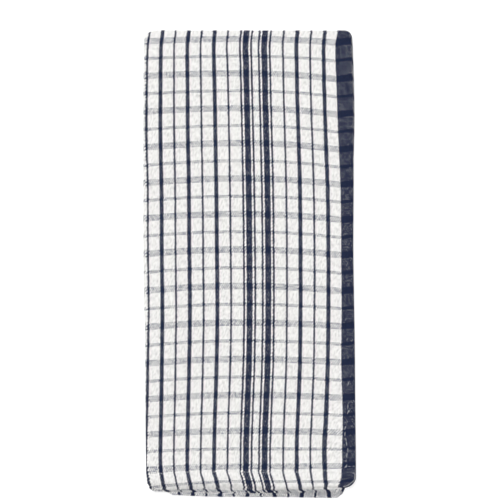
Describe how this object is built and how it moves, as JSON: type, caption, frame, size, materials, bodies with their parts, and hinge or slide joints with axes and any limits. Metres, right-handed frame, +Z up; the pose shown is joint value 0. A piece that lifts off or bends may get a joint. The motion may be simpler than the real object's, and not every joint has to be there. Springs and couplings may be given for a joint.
{
  "type": "tea towel",
  "caption": "Tea towel in white and navy checked cotton twill, folded in half and then back and forth into thirds, lying flat on its back.",
  "frame": {"origin": "centre of the bounding box in x and y, on the surface that the folded towel lies on", "axes": "+Y along the towel's length, from the hems to the top fold; +X across it, towards the selvedge of the front panel; +Z up, out of its front"},
  "size_m": [0.1496, 0.3289, 0.0098],
  "materials": {
    "cloth": "cotton twill, white with navy warp stripes and navy weft bands"
  },
  "bodies": {
    "root": {"towel": "cloth"}
  },
  "joints": []
}
